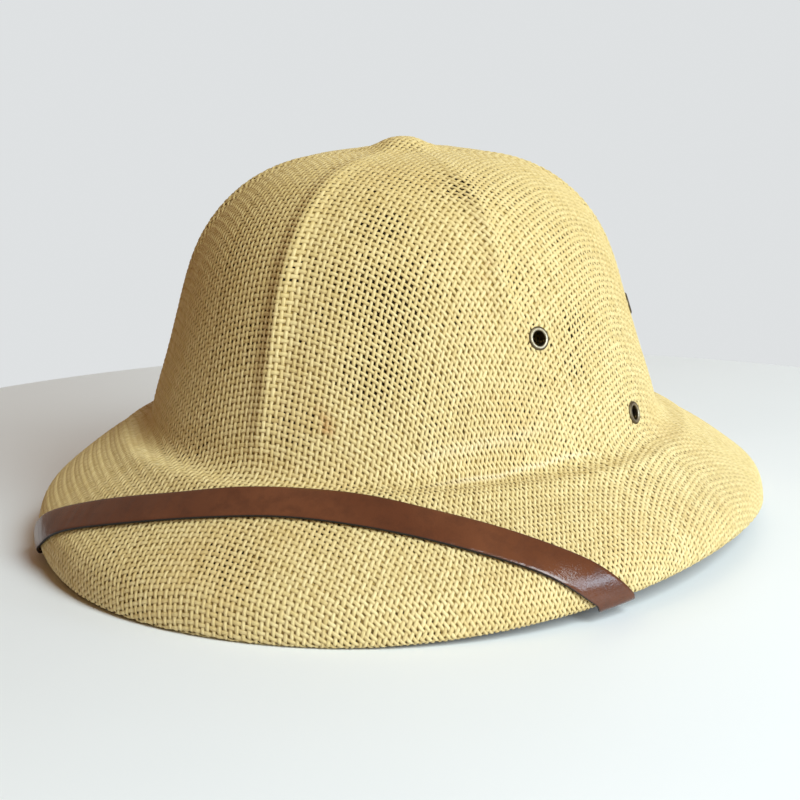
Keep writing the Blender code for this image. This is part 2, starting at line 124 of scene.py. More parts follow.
# Creases pressed in at the crown's foot: angles and places along each, height, half width, and the paleness
# of the highlight painted along it
CREASES = (
    (((32.7, 0.1805), (39.4, 0.1786), (47.5, 0.1780), (57.7, 0.1756), (73.4, 0.1762)), 0.00038, 0.0010, 0.60),
    (((28.5, 0.1711), (41.9, 0.1668), (51.1, 0.1648), (62.7, 0.1627)), 0.00025, 0.0024, 0.28),
)

# The degrees over which a crease fades at its ends, and the share of its height by which it goes out and up
CREASE_END = 7.0
CREASE_SLANT = 0.7

# Where the two layers' holes line up: centre, radius and strength
OPEN_PATCHES = (
    (0.0372, -0.0821, 0.1072, 0.021, 1.0),
    (0.0295, -0.0697, 0.1310, 0.014, 0.8),
    (0.0386, -0.0907, 0.0836, 0.017, 0.9),
    (0.0470, -0.0370, 0.1440, 0.010, 0.9),
    (0.0870, -0.0250, 0.0930, 0.010, 0.7),
    (0.0900, -0.0310, 0.0780, 0.009, 0.7),
    (0.0176, -0.1488, 0.0247, 0.018, 0.7),
    (-0.0251, -0.1565, 0.0170, 0.016, 0.6),
    (-0.0342, -0.0766, 0.1200, 0.020, 0.55),
    (-0.0200, -0.0900, 0.0900, 0.022, 0.45),
    (-0.0350, 0.0850, 0.1000, 0.022, 0.8),
    (0.0450, 0.0780, 0.1050, 0.018, 0.6),
    (-0.0850, -0.0100, 0.1000, 0.020, 0.7),
    (0.0100, 0.1450, 0.0250, 0.020, 0.6),
)

# On the brim the layers are pressed closer, so that fewer holes show
BRIM_PRESSED = 0.3
BRIM_PRESSED_WITHIN = 0.012

# Brown spots and streaks: centre, radius and strength
STAINS = (
    (0.0252, -0.1042, 0.0632, 0.0026, 0.75),
    (0.0243, -0.1042, 0.0668, 0.0028, 0.55),
    (0.0222, -0.1045, 0.0710, 0.0028, 0.50),
    (0.0215, -0.1042, 0.0755, 0.0022, 0.35),
    (0.0268, -0.1040, 0.0615, 0.0020, 0.45),
    (0.0646, -0.0517, 0.1197, 0.0016, 0.30),
    (0.0638, -0.0535, 0.1175, 0.0014, 0.45),
    (0.0648, -0.0552, 0.1130, 0.0015, 0.40),
    (0.0668, -0.0566, 0.1070, 0.0015, 0.35),
    (0.0690, -0.0578, 0.1005, 0.0015, 0.30),
    (0.0360, 0.0980, 0.0700, 0.0030, 0.40),
)

# Name, angle from the middle of the side and share of the crown's height
EYELETS = (("front", -EYELET_SPREAD, 0.41), ("low", 0.0, 0.11), ("back", EYELET_SPREAD, 0.41))

# An eyelet's height off the shell, and where its bead starts to fall, from the bore to the flange's edge
EYELET_RISE = 0.00005
BEAD_END = 0.62

# How far from an eyelet's middle the yarns and the layer are cut away
YARN_CUT = 0.0037
LAYER_CUT = 0.0034
LAYER_CUT_DEPTH = 0.006

# Angle and climb of the strap's middle line; climb is below 0 on the inner face
STRAP = (
    (-70.0, -1.56), (-70.0, -1.34), (-69.3, -1.12), (-67.0, -0.90), (-60.5, -0.62), (-51.5, -0.30),
    (-42.6, 0.00), (-34.6, 0.27), (-25.0, 0.52), (-14.0, 0.72), (-2.0, 0.87), (10.0, 0.94),
    (22.0, 0.90), (33.0, 0.78), (43.5, 0.58), (52.5, 0.31), (59.6, 0.00), (64.5, -0.32),
    (68.0, -0.63), (69.5, -0.90), (70.0, -1.12), (70.0, -1.34), (70.0, -1.56),
)
STRAP_TOP = 0.30
STRAP_ROWS = 260

# Samples along the strap's line and along a section, which the rows are then spaced and placed by
STRAP_TRIES = 300
SECTION_TRIES = 90

# At the rim: the climb within which rows lie closer, how many more there are, the climb within which they
# turn to lie across it, and how much wider this may make the strap
FOLD_ROWS_SPREAD = 0.08
FOLD_ROWS_MORE = 3
FOLD_TURN_SPREAD = 0.28
FOLD_WIDENING = 1.25

# Rows from the strap's end whose frames give a rivet's way out and its way along the strap
RIVET_ROWS = (3, 6)

# How deep the shank is in the wall, and the share of the dome's height that its edge has
RIVET_SINK = 0.0008
RIVET_EDGE = 0.3

# The cloth: yarns of flat twisted paper straw in a plain weave, over a second layer of the same cloth
PITCH = 0.0024
COVER = 0.71
YARN_THICKNESS = 0.00030
YARN_WAVE = 0.00016
CLOTH_DEPTH = 0.00022
LAYER_DEPTH = 0.00062

# At the rim the cloth turns under a little early, in a half circle, and runs up inside
HEM_RADIUS = HEM_THICKNESS / 2
HEM_TURN_EARLY = 0.0020
HEM_RUN = 0.0048

# A yarn's section in half widths and thicknesses, and the half length of its flat crown in pitches
YARN_SECTION = ((-1.0, -0.5), (-0.5, 0.5), (0.5, 0.5), (1.0, -0.5))
PLATEAU = 0.21

# Whether the yarns run across the hat, and the names of their two halves
YARNS = (
    (False, ("straw_warp_left", "straw_warp_right")),
    (True, ("straw_weft_front", "straw_weft_back")),
)

# A yarn's width: the spacings in pitches that it follows, and its share where it dips or holes are open
YARN_SPACINGS = (0.45, 1.1)
DIPPED_WIDTH = 0.9
OPEN_NARROWING = 0.20

# Chance in a yarn's width, height and place: along it, and for the whole yarn
WIDTH_CHANCE = 0.08
LIFT_CHANCE = 0.00003
SHIFT_CHANCE = 0.00006
YARN_CHANCE = 0.00013
SEED = 7

# How the net gave when it was pressed: reach in metres, then shares along and round the section
GIVE_REACH = 0.2
ALONG_GIVE = (0.13, -0.08)
ROUND_GIVE = 0.40
NET_TURN = (0.023, 0.051)
SIDE_GATHER = 0.053

# The second layer's rings: columns, and rows down the outside, round the rim, up the hem and up the inside
LAYER_COLUMNS = 360
LAYER_ROWS = (126, 9, 10, 104)

# Places of the two rings nearest the crown's top, and the stretch in which the inner face steps to the hem
LAYER_MIDDLE = 0.00005
LAYER_FIRST_RING = 0.0015
LAYER_TAPER = 0.0008

CAMERA_AT = (0.3668, -0.6494, 0.2198)
CAMERA_YAW = 29.708
CAMERA_PITCH = 12.845
CAMERA_ROLL = 0.632
CAMERA_LENS = 83.05

TABLE_MIDDLE = (0.030, -0.010)
TABLE_RADIUS = 0.380
TABLE_THICKNESS = 0.030
TABLE_EDGE = 0.004
TABLE_PAINT = ((0.835, 0.847, 0.843), (0.855, 0.866, 0.861))
BACKDROP_COLOUR = (0.735, 0.755, 0.765)
ROOM_COLOUR = (1.0, 0.54, 0.23)
ROOM_STRENGTH = 0.22
WALLS_REFLECTED = 0.24

# Name, place, width, height, power and colour of each lamp: a tall soft window, a low one and a pale wall
LAMPS = (
    ("window", (6.74, -2.06, 5.16), 3.6, 6.9, 1245, (0.755, 0.89, 0.95)),
    ("window_low", (2.77, 0.36, 0.66), 0.85, 0.65, 21, (0.66, 0.83, 1.0)),
    ("far_wall", (-0.55, 2.1, 1.10), 2.2, 1.6, 10, (0.80, 0.94, 1.0)),
)
LAMPS_FACE = (0, 0, 0.06)

STRAW_LIGHT = (0.80, 0.645, 0.318)
STRAW_MIDDLE = (0.69, 0.530, 0.228)
STRAW_CLOUDED = (0.60, 0.39, 0.135)
STRAW_DARK = (0.36, 0.22, 0.065)
# The pale straw is the highlight painted along the creases
STRAW_PALE = (0.86, 0.72, 0.46)
# A deeper, darker straw for higher up the hat
STRAW_UPPER_TINT = (0.66, 0.46, 0.13)
STAIN = (0.44, 0.19, 0.045)

# How fast noise varies: fibres along, across and from yarn to yarn, and tones along and from yarn to yarn
FIBRES = (260.0, 2.6, 90.0)
TONES = (90.0, 317.0)

# The second layer: its fineness and slant against the first, its yarns and holes in shares of a pitch
LAYER_FINENESS = 1.045
LAYER_SLANT = 0.035
LAYER_HOLE = (0.27, 0.37)
LAYER_YARN = 0.36
# Colours from the weave's low parts to its raised yarns, the low parts painted shade; the outer face is
# painted darker than the inner one, as shade under the first layer
LAYER_OUTSIDE_SHADED = ((0.24, 0.145, 0.035), (0.44, 0.29, 0.085))
LAYER_INSIDE = ((0.26, 0.165, 0.05), (0.62, 0.44, 0.17))
LAYER_PRESSED = (0.48, 0.32, 0.11)
LAYER_SHADE = (0.022, 0.014, 0.006)

LEATHER = ((0.101, 0.0285, 0.0104), (0.141, 0.0440, 0.0166))
LEATHER_MOTTLED = (0.058, 0.017, 0.007)
LEATHER_EDGE = (0.045, 0.016, 0.009)
LEATHER_CUT = (0.006, 0.005, 0.005)
LEATHER_BACK = (0.30, 0.20, 0.12)

# How fast the creases' noise varies along and across the strap
LEATHER_CREASES = (170.0, 0.35)

BRASS = ((0.40, 0.345, 0.25), (0.31, 0.25, 0.16))
BRASS_PATINA = (0.14, 0.105, 0.060)
NICKEL = (0.62, 0.58, 0.50)
NICKEL_EDGE = (0.20, 0.17, 0.13)
NICKEL_SCUFFED = (0.36, 0.31, 0.24)


# Vectors and curves


def lengths(rows):
    return np.linalg.norm(rows, axis=-1)


def unit(rows):
    return rows / lengths(rows)[..., None]


def dots(a, b):
    """Dot products of two lists of vectors, as a column."""
    return (a * b).sum(axis=-1, keepdims=True)


def walk(points):
    """Distance walked along a line, at each of its points."""
    return np.concatenate([[0], np.cumsum(lengths(np.diff(points, axis=0)))])


def bell(distance, width):
    return np.exp(-((distance / width) ** 2))


def half_turn(angle):
    """The same angle, between minus and plus half a turn."""
    return np.mod(angle + np.pi, 2 * np.pi) - np.pi


def in_space(angle, radius, height):
    """Points at an angle and a radius round the crown's axis."""
    return np.stack([radius * np.sin(angle), AXIS_Y - radius * np.cos(angle), height], axis=-1)


def flat_of(angle, place):
    """Points of the flat map, whose middle is the crown's top."""
    return np.stack([place * np.sin(angle), -place * np.cos(angle)], axis=-1)


def angle_and_place(flat):
    return np.arctan2(flat[..., 0], -flat[..., 1]), np.hypot(flat[..., 0], flat[..., 1])


def spline_bend(knots):
    """Weights that turn values at the knots into the second derivatives of their natural cubic spline."""
    count = len(knots)
    step = np.diff(knots)
    left = np.eye(count)
    right = np.zeros((count, count))
    for k in range(1, count - 1):
        left[k, k - 1 : k + 2] = (step[k - 1], 2 * (step[k - 1] + step[k]), step[k])
        right[k, k - 1] = 6 / step[k - 1]
        right[k, k] = -6 / step[k - 1] - 6 / step[k]
        right[k, k + 1] = 6 / step[k]
    return np.linalg.solve(left, right)


def spline_weights(knots, bend, samples):
    """Weights that turn values at the knots into the spline's values at the samples."""
    span = np.clip(np.searchsorted(knots, samples, side="right") - 1, 0, len(knots) - 2)
    width = (knots[span + 1] - knots[span])[:, None]
    b = (samples - knots[span])[:, None] / width
    a = 1 - b
    values = np.eye(len(knots))
    return (
        a * values[span]
        + b * values[span + 1]
        + ((a**3 - a) * bend[span] + (b**3 - b) * bend[span + 1]) * width**2 / 6
    )


# The hat's form


def oval_reach(angle, half_width, half_length, squareness):
    across = np.abs(np.sin(angle)) / half_width
    along = np.abs(np.cos(angle)) / half_length
    return (across**squareness + along**squareness) ** (-1 / squareness)


def strap_pull(angle):
    """How far the strap bends the rim, from 0 to 1 at its left end."""
    return bell(half_turn(angle - math.radians(PULL_ANGLE)), math.radians(PULL_SPREAD))


def rim_reach(angle):
    brim = np.where(np.cos(angle) > 0, BRIM_FRONT, BRIM_BACK)
    half_width = CROWN_WIDTH / 2 + BRIM_SIDE
    reach = oval_reach(angle, half_width, CROWN_LENGTH / 2 + brim, RIM_SQUARENESS)
    return reach - PULL_IN * strap_pull(angle)


def rim_height(angle):
    flat = math.sin(math.radians(RIM_FLAT_HALF_ANGLE))
    rise = np.clip((np.abs(np.sin(angle)) - flat) / (1 - flat), 0, 1)
    return RIM_ARCH * rise**RIM_ARCH_CURVE + PULL_UP * strap_pull(angle)


def over_the_top(stations, sign=1):
    """Values at the section's stations, with two more beyond the top so that it is level there."""
    return np.concatenate([sign * stations[2:0:-1], stations])


def section_knots():
    """Places of the stations, measured on the front's section."""
    middle = CROWN_LENGTH / 2
    foot = CROWN[-1][0] * middle
    stations = [(out * middle, up * CROWN_HEIGHT) for out, up, _, _ in CROWN]
    stations += [(foot + out * (middle + BRIM_FRONT - foot), -drop * BRIM_DROP) for out, drop in BRIM]
    return over_the_top(walk(np.array(stations)), -1)


KNOTS = section_knots()
BEND = spline_bend(KNOTS)
FOOT_PLACE = KNOTS[len(CROWN) + 1]
RIM_PLACE = KNOTS[-1]
TURN_PLACE = RIM_PLACE - HEM_TURN_EARLY
CLOTH_END = TURN_PLACE + math.pi * HEM_RADIUS + HEM_RUN

# How far out the net is drawn: crossings from the top, and the last place that one may have
NET_COUNT = int((CLOTH_END + 0.02) / PITCH)
NET_END = CLOTH_END + 0.03
NET_TRIES = np.linspace(0, CLOTH_END + 0.05, 3000)


def ridge_relief(angle, reach, long_ridge, short_ridge):
    """Height of the ridges' welts, less the sinking of the panels between them."""
    is_long = np.isin(RIDGES, LONG_RIDGES).astype(float)
    ends = np.radians(RIDGES)
    turn = np.mod(angle, 2 * np.pi)
    panel = np.clip(np.searchsorted(ends, turn, side="right") - 1, 0, len(RIDGES) - 2)
    half = (ends[panel + 1] - ends[panel]) / 2
    from_middle = np.abs(turn - ends[panel] - half)
    welt = bell(2 * ((half - from_middle) * reach), RIDGE_WIDTH)
    across = (turn - ends[panel]) / (2 * half)
    share = is_long[panel] + across * (is_long[panel + 1] - is_long[panel])
    strength = np.clip(short_ridge + share * (long_ridge - short_ridge), 0, 1)
    return strength * (RIDGE_HEIGHT * welt - PANEL_SINK * (1 - (from_middle / half) ** 2))


def from_segment(flat, start, end):
    """Distance of flat-map points from a segment."""
    along = end - start
    share = np.clip((flat - start) @ along / (along @ along), 0, 1)
    return lengths(flat - start - share[:, None] * along)


def crease_shares(flat):
    """For each crease, how far up it the points of the flat map are, from 0 beside it to 1 on its crest."""
    turn = np.degrees(angle_and_place(flat)[0])
    shares = []
    for line, _, half_width, _ in CREASES:
        angles, places = (np.array(column) for column in zip(*line))
        nodes = flat_of(np.radians(angles), places)
        nearest = np.min([from_segment(flat, a, b) for a, b in zip(nodes, nodes[1:])], axis=0)
        started, left = (np.clip(way / CREASE_END, 0, 1) for way in (turn - angles[0], angles[-1] - turn))
        shares.append(started * left * bell(nearest, half_width))
    return np.array(shares)


def outer_section(angle, place, relief=True):
    """Radius and height of the outer face, for arrays of angles and places of the same shape."""
    waist = oval_reach(angle, CROWN_WIDTH / 2, CROWN_LENGTH / 2, CROWN_SQUARENESS)
    foot = CROWN[-1][0] * waist
    rim = rim_reach(angle)
    low = rim_height(angle)
    stations = [(out * waist, BRIM_DROP + up * CROWN_HEIGHT + 0 * waist) for out, up, _, _ in CROWN]
    stations += [(foot + out * (rim - foot), BRIM_DROP + drop * (low - BRIM_DROP)) for out, drop in BRIM]
    radii, heights = (np.array(column) for column in zip(*stations))
    weights = spline_weights(KNOTS, BEND, place)
    radius = np.einsum("nk,kn->n", weights, over_the_top(radii, -1))
    height = np.einsum("nk,kn->n", weights, over_the_top(heights))
    if relief:
        ridges = np.array([row[2:] for row in CROWN] + [(0.0, 0.0)] * len(BRIM))
        long_ridge, short_ridge = (weights @ over_the_top(ridges)).T
        radius = radius + ridge_relief(angle, np.maximum(radius, 0), long_ridge, short_ridge)
    return radius, height


def turned_section(angle, place):
    """As outer_section, and past the rim the cloth turns under and runs back up inside."""
    radius, height = outer_section(angle, np.minimum(place, TURN_PLACE))
    past = place > TURN_PLACE
    if past.any():
        end = np.full(past.sum(), TURN_PLACE)
        before = outer_section(angle[past], end - 2e-4)
        down = np.stack([radius[past] - before[0], height[past] - before[1]])
        down /= np.linalg.norm(down, axis=0)
        out = np.stack([-down[1], down[0]])
        beyond = place[past] - TURN_PLACE
        turn = np.minimum(beyond / HEM_RADIUS, np.pi)
        back = np.maximum(beyond - np.pi * HEM_RADIUS, 0)
        moved = HEM_RADIUS * ((np.cos(turn) - 1) * out + np.sin(turn) * down) - back * down
        radius[past] += moved[0]
        height[past] += moved[1]
    return radius, height


def flat_point(flat):
    """Points of the cloth in space, for points of the flat map."""
    angle, place = angle_and_place(flat)
    radius, height = turned_section(angle, place)
    crease = CREASE_SLANT * np.array([rise for _, rise, _, _ in CREASES]) @ crease_shares(flat)
    return in_space(angle, radius + crease, height + crease)


def flat_normal(flat, step=2e-4):
    """Unit normals of the cloth, from small steps on the flat map."""
    along_x = flat_point(flat + (step, 0)) - flat_point(flat - (step, 0))
    along_y = flat_point(flat + (0, step)) - flat_point(flat - (0, step))
    return unit(np.cross(along_x, along_y))


def marks_and_painted_light_at(flat, points):
    """Marks on the cloth: the creases' pale lines, which are painted highlights, the brown stains, and how
    far the layers' holes line up.
    """

    def strongest(spots):
        share = np.zeros(len(points))
        for x, y, z, radius, strength in spots:
            distance = lengths(points - (x, y, z))
            share = np.maximum(share, strength * bell(distance, radius))
        return share

    # Highlights painted along the creases
    pale = np.array([paleness for _, _, _, paleness in CREASES]) @ crease_shares(flat)
    down_the_brim = (lengths(flat) - FOOT_PLACE) / BRIM_PRESSED_WITHIN
    pressed = BRIM_PRESSED * np.clip(down_the_brim, 0, 1)
    return np.stack([pale, strongest(STAINS), strongest(OPEN_PATCHES) - pressed], axis=1)


def outer_point(angle, place):
    return in_space(angle, *outer_section(angle, place))


def outer_normal(angle, place, step=1e-4):
    turn = step / np.maximum(np.abs(outer_section(angle, place)[0]), 10 * step)
    round_it = outer_point(angle + turn, place) - outer_point(angle - turn, place)
    down_it = outer_point(angle, np.minimum(place + step, RIM_PLACE)) - outer_point(angle, place - step)
    return unit(np.cross(down_it, round_it))


def inner_point(angle, place, taper=HEM_TAPER):
    """Points of the inner face, where the wall thickens to the hem over a taper's length."""
    into_hem = np.clip((place - (RIM_PLACE - HEM_HEIGHT)) / taper, 0, 1)
    wall = WALL + (HEM_THICKNESS - WALL) * into_hem
    return outer_point(angle, place) - wall[:, None] * outer_normal(angle, place)


# The net of yarns


def net_point(flat):
    """Points of the smooth form that the cloth was drawn over, running straight down past the rim."""
    angle, place = angle_and_place(flat)
    kept = np.minimum(place, RIM_PLACE)
    radius, height = outer_section(angle, kept, relief=False)
    return in_space(angle, radius, height - (place - kept))


def axis_crossings(direction):
    """Flat-map places of the crossings along one of the cloth's two middle yarns, a pitch apart."""
    walked = walk(net_point(np.outer(NET_TRIES, direction)))
    return np.outer(np.interp(np.arange(NET_COUNT + 1) * PITCH, walked, NET_TRIES), direction)


def newton_step(slopes, miss, longest):
    """Steps that make up for a miss, none longer than a length."""
    step = np.linalg.solve(slopes, miss[:, :, None])[:, :, 0]
    return step * np.minimum(1, longest / np.maximum(lengths(step), 1e-12)[:, None])


def next_crossings(before, beside, found):
    """Crossings one pitch from two known neighbours each, by Newton's method from a guess."""
    ends = np.stack([net_point(before), net_point(beside)], axis=1)
    small = 2e-5
    for _ in range(7):
        here = net_point(found)
        slopes = np.stack([net_point(found + d) - here for d in ((small, 0), (0, small))], axis=1) / small
        gaps = here[:, None] - ends
        jacobian = 2 * (gaps[:, :, None] * slopes[:, None]).sum(-1)
        miss = (gaps**2).sum(-1) - PITCH**2
        found = found - newton_step(jacobian + 1e-9 * np.eye(2), miss, longest=0.002)
    missed = np.abs(lengths(net_point(found)[:, None] - ends) - PITCH)
    return found, missed.max(axis=1) < 1e-5


def quarter_net(across, along):
    """A quarter of the net: every crossing is one pitch from its neighbours on both yarns."""
    net = np.full((NET_COUNT + 1, NET_COUNT + 1, 2), np.nan)
    net[:, 0] = axis_crossings((across, 0))
    net[0, :] = axis_crossings((0, along))
    for k in range(2, 2 * NET_COUNT + 1):
        i = np.arange(max(1, k - NET_COUNT), min(NET_COUNT, k - 1) + 1)
        j = k - i
        before, beside, corner = net[i - 1, j], net[i, j - 1], net[i - 1, j - 1]
        known = np.isfinite(before[:, 0] + beside[:, 0] + corner[:, 0])
        i, j = i[known], j[known]
        before, beside, corner = before[known], beside[known], corner[known]
        found, good = next_crossings(before, beside, before + beside - corner)
        good &= lengths(found) < NET_END
        net[i[good], j[good]] = found[good]
    return net


def whole_net():
    """Flat-map places of all crossings, as an array by warp yarn (left to right) and weft yarn."""
    net = np.full((2 * NET_COUNT + 1, 2 * NET_COUNT + 1, 2), np.nan)
    steps = np.arange(NET_COUNT + 1)
    for across in (-1, 1):
        for along in (-1, 1):
            corner = np.ix_(NET_COUNT + across * steps, NET_COUNT + along * steps)
            net[corner] = quarter_net(across, along)
    return relaxed(net)


def relaxed(net):
    """The net after the cloth was pressed to shape: its yarns gave a little, and it turned on the crown."""
    across, along = np.indices(net.shape[:2]) - NET_COUNT
    drawn = PITCH * np.hypot(across, along)
    bearing = np.arctan2(across, -along)
    beyond = drawn / GIVE_REACH - 1
    angle, place = angle_and_place(net)
    along_give = ALONG_GIVE[0] + ALONG_GIVE[1] * beyond
    place = (1 - along_give) * place + along_give * drawn
    angle = angle + ROUND_GIVE * half_turn(bearing - angle) + NET_TURN[0] + NET_TURN[1] * beyond
    angle = angle + SIDE_GATHER * np.sin(2 * bearing) * (beyond + 1)
    return flat_of(angle, place)


def net_lookup(net, at):
    """Flat-map points at fractional net coordinates, and the slopes along both."""
    low = np.clip(np.floor(at).astype(int), 0, len(net) - 2)
    share = at - low
    a, b = share[:, :1], share[:, 1:]
    near, far, right, across = (net[low[:, 0] + i, low[:, 1] + j] for i in (0, 1) for j in (0, 1))
    point = (1 - a) * (1 - b) * near + (1 - a) * b * far + a * (1 - b) * right + a * b * across
    slope_a = (1 - b) * (right - near) + b * (across - far)
    slope_b = (1 - a) * (far - near) + a * (across - right)
    return point, slope_a, slope_b


def net_coordinates(net, angles, places):
    """Net coordinates for rows of places, followed outwards from the crown's top."""
    rows = []
    guess = NET_COUNT + flat_of(angles, 0.3)
    last = 0.0
    for place in places:
        target = flat_of(angles, place)
        guess = guess + flat_of(angles, (place - last) / PITCH) * 0.8
        for _ in range(8):
            point, slope_a, slope_b = net_lookup(net, guess)
            slopes = np.stack([slope_a, slope_b], axis=2)
            guess = guess + newton_step(slopes, target - point, longest=2.0)
        rows.append(guess)
        last = place
    return np.array(rows)


# Meshes


def quad_mesh(name, points, quads, values):
    """A smooth mesh of quads, with named vectors on its points."""
    mesh = bpy.data.meshes.new(name)
    mesh.from_pydata(points.tolist(), [], quads.tolist())
    for label, vectors in values.items():
        layer = mesh.attributes.new(label, "FLOAT_VECTOR", "POINT")
        layer.data.foreach_set("vector", vectors.astype(np.float32).ravel())
    mesh.shade_smooth()
    return mesh


def ring_quads(rows, columns, closed=False):
    """Quads between rings of points, and where closed also between the last ring and the first."""
    row = np.arange(rows if closed else rows - 1)[:, None]
    here, there = row * columns, (row + 1) % rows * columns
    left = np.arange(columns)
    right = (left + 1) % columns
    return np.stack([here + left, there + left, there + right, here + right], axis=2).reshape(-1, 4)


def close_up(mesh, caps, sharp):
    """Close rings of points with caps, turn all faces outwards and keep edges sharp from an angle on."""
    work = bmesh.new()
    work.from_mesh(mesh)
    work.verts.ensure_lookup_table()
    for ring in caps:
        work.faces.new([work.verts[i] for i in ring])
    bmesh.ops.recalc_face_normals(work, faces=work.faces)
    work.to_mesh(mesh)
    work.free()
    mesh.shade_smooth()
    mesh.set_sharp_from_angle(angle=math.radians(sharp))


def placed(data):
    obj = bpy.data.objects.new(data.name, data)
    bpy.context.scene.collection.objects.link(obj)
    return obj


def add_piece(mesh, material, slot, *nodes):
    mesh.materials.append(material)
    obj = placed(mesh)
    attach(obj, "root")
    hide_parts(*nodes)


def yarn_family(paths, crosswise):
    """Rings of all the yarns that run one way, which of them are on the cloth, and which lie on top."""
    count = len(paths)
    nothing = np.full((count, 1, 2), np.nan)
    spans = paths[:, 1:] - paths[:, :-1]
    before = np.concatenate([nothing, spans], axis=1)
    after = np.concatenate([spans, nothing], axis=1)
    rings = np.stack([paths - PLATEAU * before, paths + PLATEAU * after], axis=2).reshape(count, -1, 2)
    place = lengths(rings)
    inside = place <= CLOTH_END
    over = ((np.indices((count, count)).sum(axis=0) + crosswise) % 2 == 0).repeat(2, axis=1)
    clipped = rings.copy()
    for shift in (1, -1):
        cut = ~inside & np.roll(inside, shift, axis=1) & np.isfinite(place)
        other = np.roll(rings, shift, axis=1)
        near = np.roll(place, shift, axis=1)
        share = ((CLOTH_END - near) / np.maximum(place - near, 1e-9))[..., None]
        clipped = np.where(cut[..., None], other + share * (rings - other), clipped)
    reach = lengths(clipped)
    return clipped, np.isfinite(reach) & (reach <= CLOTH_END + 1e-6), over


def spacings_of(net):
    """Distance from each crossing to the next yarn beside it, for the yarns of both ways."""
    points = np.full(net.shape[:2] + (3,), np.nan)
    known = np.isfinite(net[..., 0])
    points[known] = net_point(net[known])
    along_a = np.gradient(points, axis=0)
    along_b = np.gradient(points, axis=1)
    area = lengths(np.cross(along_a, along_b))
    spacings = [area / lengths(along) for along in (along_b, along_a)]
    return [np.nan_to_num(spacing, nan=PITCH) for spacing in spacings]


def along_yarns(centre, normal, good):
    """The way along each yarn at its rings, from the rings before and after, laid into the cloth."""
    position = np.full(good.shape + (3,), np.nan)
    position[good] = centre
    ahead = np.roll(position, -1, axis=1) - position
    behind = position - np.roll(position, 1, axis=1)
    ahead[:, -1] = np.nan
    behind[:, 0] = np.nan
    along = (np.nan_to_num(ahead) + np.nan_to_num(behind))[good]
    along -= normal * dots(along, normal)
    return along / np.maximum(lengths(along), 1e-12)[:, None]


def yarn_mesh(name, points, values, first, second):
    """Strips between the pairs of rings of a yarn's section."""
    size = len(YARN_SECTION)
    used = np.unique(np.concatenate([first, second]))
    a, b = (size * np.searchsorted(used, ring) for ring in (first, second))
    k = np.arange(size - 1)[:, None]
    quads = np.stack([b + k, b + k + 1, a + k + 1, a + k], axis=2).reshape(-1, 4)
    rows = (size * used[:, None] + np.arange(size)).ravel()
    return quad_mesh(name, points[rows], quads, {label: value[rows] for label, value in values.items()})


def yarn_pieces(net, seats, material):
    """The first layer: flat yarns over and under each other, left out where the eyelets are."""
    rng = np.random.default_rng(SEED)
    sideways, raised = np.array(YARN_SECTION).T
    size = len(YARN_SECTION)
    for (crosswise, names), spacing in zip(YARNS, spacings_of(net)):
        paths, spacing = (net.transpose(1, 0, 2), spacing.T) if crosswise else (net, spacing)
        flats, good, over = yarn_family(paths, crosswise)
        tones = rng.random(len(paths))
        yarn, ring = np.nonzero(good)
        flat = flats[good]
        centre, normal = flat_point(flat), flat_normal(flat)
        side = np.cross(normal, along_yarns(centre, normal, good))
        up = np.where(over, 1.0, -1.0)[good]
        marks_and_painted_light = marks_and_painted_light_at(flat, centre)
        chance = rng.normal(0, 1, (3, len(flat)))
        least, most = (share * PITCH for share in YARN_SPACINGS)
        wide = COVER / 2 * np.clip(spacing.repeat(2, axis=1)[good], least, most)
        wide = wide * np.where(up > 0, 1.0, DIPPED_WIDTH)
        wide = wide * (1 + WIDTH_CHANCE * chance[0] - OPEN_NARROWING * np.maximum(marks_and_painted_light[:, 2], 0))
        lift = -CLOTH_DEPTH + YARN_WAVE * up + LIFT_CHANCE * chance[1]
        shift = SHIFT_CHANCE * chance[2] + YARN_CHANCE * rng.normal(0, 1, len(paths))[yarn]
        points = (
            centre[:, None]
            + normal[:, None] * (lift[:, None] + YARN_THICKNESS * raised)[..., None]
            + side[:, None] * (shift[:, None] + wide[:, None] * sideways)[..., None]
        )
        # On the yarns the third value is whether a yarn lies over or under; the material turns it into
        # painted shade where a yarn dips
        marks_and_painted_light[:, 2] = up
        along, tone = (np.repeat(column, size) for column in (ring * PITCH / 2, tones[yarn]))
        strand = np.stack([along, np.tile(sideways, len(flat)), tone], axis=1)
        values = {"strand": strand, "marks_and_painted_light": np.repeat(marks_and_painted_light, size, axis=0)}
        ids = np.full(good.shape, -1)
        ids[good] = np.arange(len(flat))
        pair = good[:, :-1] & good[:, 1:]
        first, second = ids[:, :-1][pair], ids[:, 1:][pair]
        middle = (centre[first] + centre[second]) / 2
        for seat in seats:
            keep = lengths(middle - np.array(seat.translation)) > YARN_CUT
            first, second, middle = first[keep], second[keep], middle[keep]
        in_first_half = yarn[first] < len(paths) // 2
        for name, part in zip(names, (in_first_half, ~in_first_half)):
            mesh = yarn_mesh(name, points.reshape(-1, 3), values, first[part], second[part])
            add_piece(mesh, material, "straw", "straw_shell")


